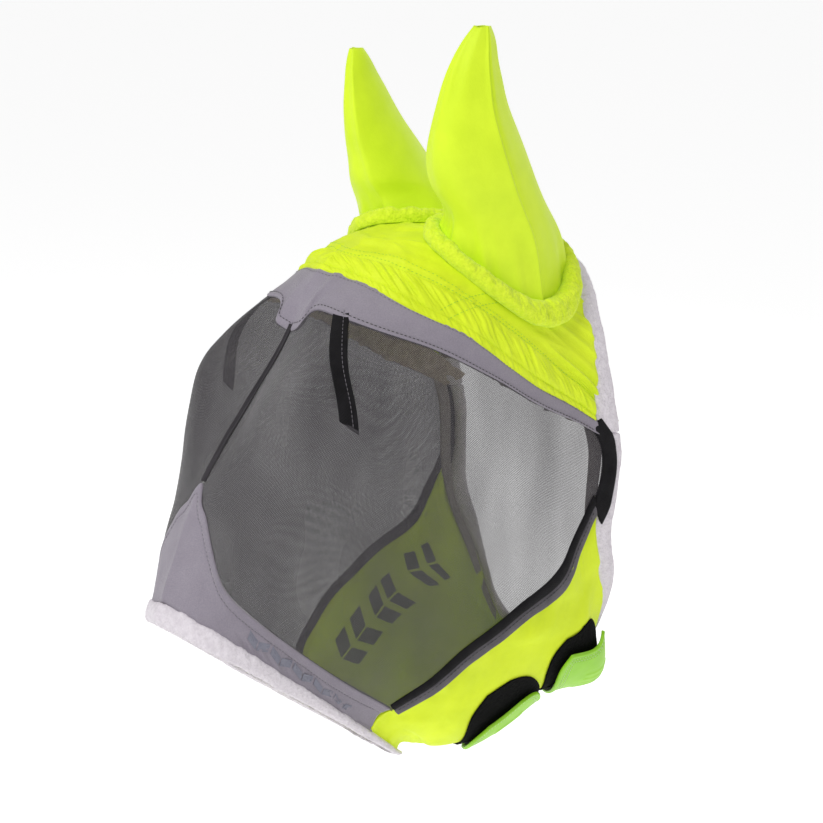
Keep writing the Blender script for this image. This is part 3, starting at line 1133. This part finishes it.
def prints(name, quads, height, lift, mat, nodes, slot_, side=1, inner=None):
    bm_v, bm_f, uvs = [], [], []
    for c in quads:
        for face in ((height, lift),) + (((inner, -.18),) if inner is not None else ()):
            n = 8
            s, t = np.meshgrid(np.linspace(0, 1, n), np.linspace(0, 1, n), indexing='ij')
            A0, B0, A1, B1 = [np.array(x) for x in c]
            q = (A0 * (1 - t[..., None]) + B0 * t[..., None]) * (1 - s[..., None]) + (A1 * (1 - t[..., None]) + B1 * t[..., None]) * s[..., None]
            hh = face[0](q[..., 0], q[..., 1])
            O, I = at(q[..., 0], q[..., 1], hh + face[1]), at(q[..., 0], q[..., 1], hh + (.02 if face[1] > 0 else -.02))
            if face[1] < 0:
                O, I = I, O
            if side < 0:
                O, I = mirror_grid(O), mirror_grid(I)
            k = len(bm_v)
            for G in (O, I):
                bm_v += [tuple(p * MM) for p in G.reshape(-1, 3)]
                uvs += [tuple(p) for p in arc_uv(G * MM).reshape(-1, 2)]
            id_ = np.arange(n * n).reshape(n, n)
            for i in range(n - 1):
                for j in range(n - 1):
                    a, b, c2, d = id_[i, j], id_[i, j + 1], id_[i + 1, j + 1], id_[i + 1, j]
                    bm_f.append((k + a, k + b, k + c2, k + d))
                    bm_f.append((k + d + n * n, k + c2 + n * n, k + b + n * n, k + a + n * n))
            ring = [id_[0, j] for j in range(n)] + [id_[i, -1] for i in range(1, n)] + [id_[-1, j] for j in range(n - 2, -1, -1)] + [id_[i, 0] for i in range(n - 2, 0, -1)]
            for a, b in zip(ring, ring[1:] + ring[:1]):
                bm_f.append((k + b, k + a, k + a + n * n, k + b + n * n))
    me = bpy.data.meshes.new(name)
    me.from_pydata(bm_v, [], bm_f)
    bm = bmesh.new()
    bm.from_mesh(me)
    bmesh.ops.recalc_face_normals(bm, faces=bm.faces)
    bm.to_mesh(me)
    bm.free()
    lay = me.uv_layers.new(name="UVMap")
    for l in me.loops:
        lay.data[l.index].uv = uvs[l.vertex_index]
    me.materials.append(MATS[mat])
    o = bpy.data.objects.new(name, me)
    scene.collection.objects.link(o)
    finish_piece(o, "mask", nodes, slot_)
    return o


def lookup(G):
    U_, W_, H_ = G

    def f(uu, ww):
        out = np.zeros(uu.shape)
        for i in np.ndindex(uu.shape):
            k = (((U_ - uu[i]) / .8) ** 2 + (W_ - abs(ww[i])) ** 2).argmin()
            out[i] = H_.ravel()[k]
        return out
    return f


cheek_h = lookup((CHEEK[0], CHEEK[1], CHEEK[2] * .9))
quads = []
for cu, cw in ((.285, .672), (.335, .672), (.395, .675), (.445, .675), (.540, .657), (.600, .652)):
    quads += chevron_quads(cu - .014, cw + .004, .033, .027)
prints("cheek_chevron_print", quads, lambda a, b: cheek_h(a, b), .15, "print_olive", ["cheek_chevrons_right"], "print_olive", side=-1,
       inner=lambda a, b: cheek_h(a, b) - SHELL)
nose_h = lookup((NOSE[0], np.abs(NOSE[1]), NOSE[2]))
quads = []
for cw in (.350, .402, .454, .506, .558):
    quads += chevron_quads(.026, cw, .018, .023)
prints("nose_chevron_print", quads, lambda a, b: nose_h(a, b), .55, "print_grey", ["nose_chevrons_left"], "print_grey")


# ---------------------------------------------------------------- stitching
def stitches(name, P, N, mat, body, length=2.6, pitch=3.6, r=.33, lift=.12, blend_to=None):
    """A run of separate thread stitches along a line of points (mm)."""
    P = np.asarray(P, float)
    N = np.asarray(N, float)
    d = np.concatenate([[0], np.cumsum(np.linalg.norm(np.diff(P, axis=0), axis=1))])
    total = d[-1]
    V, F = [], []
    x = pitch * .3
    while x + length < total:
        st = np.linspace(x, x + length, 5)
        c = np.stack([np.interp(st, d, P[:, k]) for k in range(3)], -1)
        nn = np.stack([np.interp(st, d, N[:, k]) for k in range(3)], -1)
        nn /= np.linalg.norm(nn, axis=1)[:, None]
        arch = np.array([-.35, .1, .22, .1, -.35])[:, None]
        c = c + nn * (lift + arch)
        tg = c[-1] - c[0]
        tg /= np.linalg.norm(tg) + 1e-9
        bb = np.cross(tg, nn[2])
        rad = r * np.array([.45, .95, 1.0, .95, .45])
        k0 = len(V)
        for i in range(5):
            for j in range(6):
                a = j * math.pi / 3
                V.append(tuple((c[i] + (nn[i] * math.cos(a) + bb * math.sin(a)) * rad[i]) * MM))
        for i in range(4):
            for j in range(6):
                k = (j + 1) % 6
                F.append((k0 + i * 6 + j, k0 + i * 6 + k, k0 + (i + 1) * 6 + k, k0 + (i + 1) * 6 + j))
        F.append(tuple(k0 + j for j in reversed(range(6))))
        F.append(tuple(k0 + 24 + j for j in range(6)))
        x += pitch
    if not V:
        return None
    me = bpy.data.meshes.new(name)
    me.from_pydata(V, [], F)
    bm = bmesh.new()
    bm.from_mesh(me)
    bmesh.ops.recalc_face_normals(bm, faces=bm.faces)
    bm.to_mesh(me)
    bm.free()
    me.polygons.foreach_set("use_smooth", np.ones(len(me.polygons), bool))
    me.materials.append(MATS[mat])
    o = bpy.data.objects.new(name, me)
    scene.collection.objects.link(o)
    if blend_to:
        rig.blend(o, *blend_to[:2], start=blend_to[2], end=blend_to[3])
    elif body:
        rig.ride(o, body)
    return o


def row_line(G, u, w, top, row, lo=0, hi=None):
    hi = hi or u.shape[1]
    P = at(u[row, lo:hi], w[row, lo:hi], top[row, lo:hi])
    return P, normals(u[row, lo:hi], w[row, lo:hi])


u, w, top = BROW
i = int(round(.115 * (u.shape[0] - 1)))
P, N = row_line(None, u, w, top, i, 3, -3)
stitches("stitch_brow_lower", P, N, "thread_black", "mask")
i = int(round(.93 * (u.shape[0] - 1)))
P, N = row_line(None, u, w, top, i, 3, -3)
stitches("stitch_brow_upper", P, N, "thread_grey", "mask", r=.28)
u, w, top, px = NOSE
lp, ln = [], []
for j in range(4, u.shape[1] - 4):
    i = int(np.abs(px[-1, j] - px[:, j] - 8.4).argmin())
    lp.append(at(u[i, j], w[i, j], top[i, j]))
    ln.append(normals(u[i, j], w[i, j]))
stitches("stitch_nose_upper", lp, ln, "thread_grey", "mask", r=.3)
for side, tag in ((1, "left"), (-1, "right")):
    tt = np.linspace(.01, .99, 300)
    q = curve(shift(PIPE, 0, .0065))(tt)
    P, N = at(q[:, 0], q[:, 1], 1.75 + 0 * tt), normals(q[:, 0], q[:, 1])
    P[:, 0] *= side
    N[:, 0] *= side
    stitches("stitch_piping_%s" % tag, P, N, "thread_black", "mask", length=3.2, pitch=4.0, r=.32)
    q = (curve(DA)(tt) * .3 + curve(DB)(tt) * .7)
    P, N = at(q[:, 0], q[:, 1], 1.75 + 0 * tt), normals(q[:, 0], q[:, 1])
    P[:, 0] *= side
    N[:, 0] *= side
    if side > 0:
        stitches("stitch_dart_%s" % tag, P, N, "thread_grey", "mask", length=2.6, pitch=3.6, r=.26)
u, w, top = CROWN
for i, nm in ((4, "a"), (9, "b")):
    P, N = row_line(None, u, w, top, i, 4, -4)
    stitches("stitch_crown_%s" % nm, P, N, "thread_yellow", "mask", r=.26, lift=.0)
cu_, cw_, ct_ = (np.concatenate([CROWN[k].ravel(), CHAN[k].ravel()]) for k in range(3))
for k, wl in enumerate((.268, .284)):
    for side, tag in ((1, "l"), (-1, "r")):
        lu = np.linspace(.700, .832, 60)
        lw = wl + .10 * (lu - .70)
        hh_ = np.array([ct_[((cu_ - a) ** 2 + (cw_ * side - b) ** 2).argmin()] for a, b in zip(lu, lw)])
        P, N = at(lu, lw, hh_), normals(lu, lw)
        P[:, 0] *= side
        N[:, 0] *= side
        stitches("stitch_cross_%s%d" % (tag, k), P, N, "thread_yellow", "mask", r=.3, lift=.1)
for nm, (uu, ww_), body, hh in (("front", (tu, tw), "strap_front", h0 + 4.8), ("rear", (tu2, tw2), "strap_rear", h0 + 5.2)):
    s, t = np.meshgrid(np.linspace(0, 1, 110), np.linspace(0, 1, 120), indexing='ij')
    for k, dd in ((0, 4.2), (1, 7.0)):
        fr_ = dd / 70
        ft = 1 - dd / 60
        path = [(fr_, x) for x in np.linspace(.06, ft, 60)] + [(x, ft) for x in np.linspace(fr_, 1 - fr_, 40)] + [(1 - fr_, x) for x in np.linspace(ft, .06, 60)]
        Ac, Bc = curve(tabF[0] if nm == "front" else tabR[0]), curve(tabF[1] if nm == "front" else tabR[1])
        pts = np.array([Ac(np.array(b)) * (1 - a) + Bc(np.array(b)) * a for a, b in path])
        P, N = at(pts[:, 0], pts[:, 1], hh - .30 + flare(np.array([b for a, b in path]))), normals(pts[:, 0], pts[:, 1])
        stitches("stitch_tab_%s_%d" % (nm, k), P, N, "thread_white", body, length=2.2, pitch=3.2, r=.28)

# ---------------------------------------------------------------- stage, light, camera
AZ, EL, DIST = math.radians(52.0), math.radians(15.0), 2.100
BACK = Vector((math.sin(AZ) * math.cos(EL), -math.cos(AZ) * math.cos(EL), math.sin(EL)))
RIGHT = Vector((math.cos(AZ), math.sin(AZ), 0))
UP = BACK.cross(RIGHT)
TARGET = -(RIGHT * .029583 + UP * .154583)
cam = bpy.data.cameras.new("camera")
cam.sensor_width = 36
cam.lens = 2520.0 * 36 / 823
cam.clip_end = 100
co = bpy.data.objects.new("camera", cam)
rot = Matrix((RIGHT, UP, BACK)).transposed().to_4x4()
co.matrix_world = Matrix.Translation(TARGET + BACK * DIST) @ rot
scene.collection.objects.link(co)
scene.camera = co

me = bpy.data.meshes.new("studio_floor")
R = 14.0
me.from_pydata([(-R, -R, -.72), (R, -R, -.72), (R, R, -.72), (-R, R, -.72)], [], [(0, 1, 2, 3)])
floor = bpy.data.objects.new("studio_floor", me)
m, nt, b = new_mat("studio_floor_pale")
b.inputs["Base Color"].default_value = (.93, .93, .93, 1)
b.inputs["Roughness"].default_value = .9
b.inputs["Emission Color"].default_value = (1, 1, 1, 1)
b.inputs["Emission Strength"].default_value = .52
me.materials.append(m)
scene.collection.objects.link(floor)
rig.stage(floor)

world = bpy.data.worlds.new("studio")
scene.world = world
world.use_nodes = True
bg = world.node_tree.nodes["Background"]
bg.inputs[0].default_value = (1, 1, 1, 1)
bg.inputs[1].default_value = .46


def area(name, loc, target, size, power, col=(1, 1, 1)):
    l = bpy.data.lights.new(name, 'AREA')
    l.size = size
    l.energy = power
    l.color = col
    o = bpy.data.objects.new(name, l)
    o.location = loc
    o.rotation_euler = (Vector(target) - Vector(loc)).to_track_quat('-Z', 'Y').to_euler()
    scene.collection.objects.link(o)


area("key", tuple(TARGET + BACK * 1.6 - RIGHT * .9 + UP * 1.5), (0, -.05, -.15), .8, 30)
area("rim", tuple(TARGET - BACK * 1.2 + RIGHT * 1.4 + UP * 1.2), (0, -.05, -.15), 1.0, 9)
scene.view_settings.view_transform = 'Standard'
scene.view_settings.look = 'None'

b1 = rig.bounds()
json.dump({"cad": [list(BOX0[0]), list(BOX0[1])], "looks": [list(b1[0]), list(b1[1])],
           "flat_mm": {k: list(v) for k, v in FLAT.items()}}, open("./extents.json", "w"))
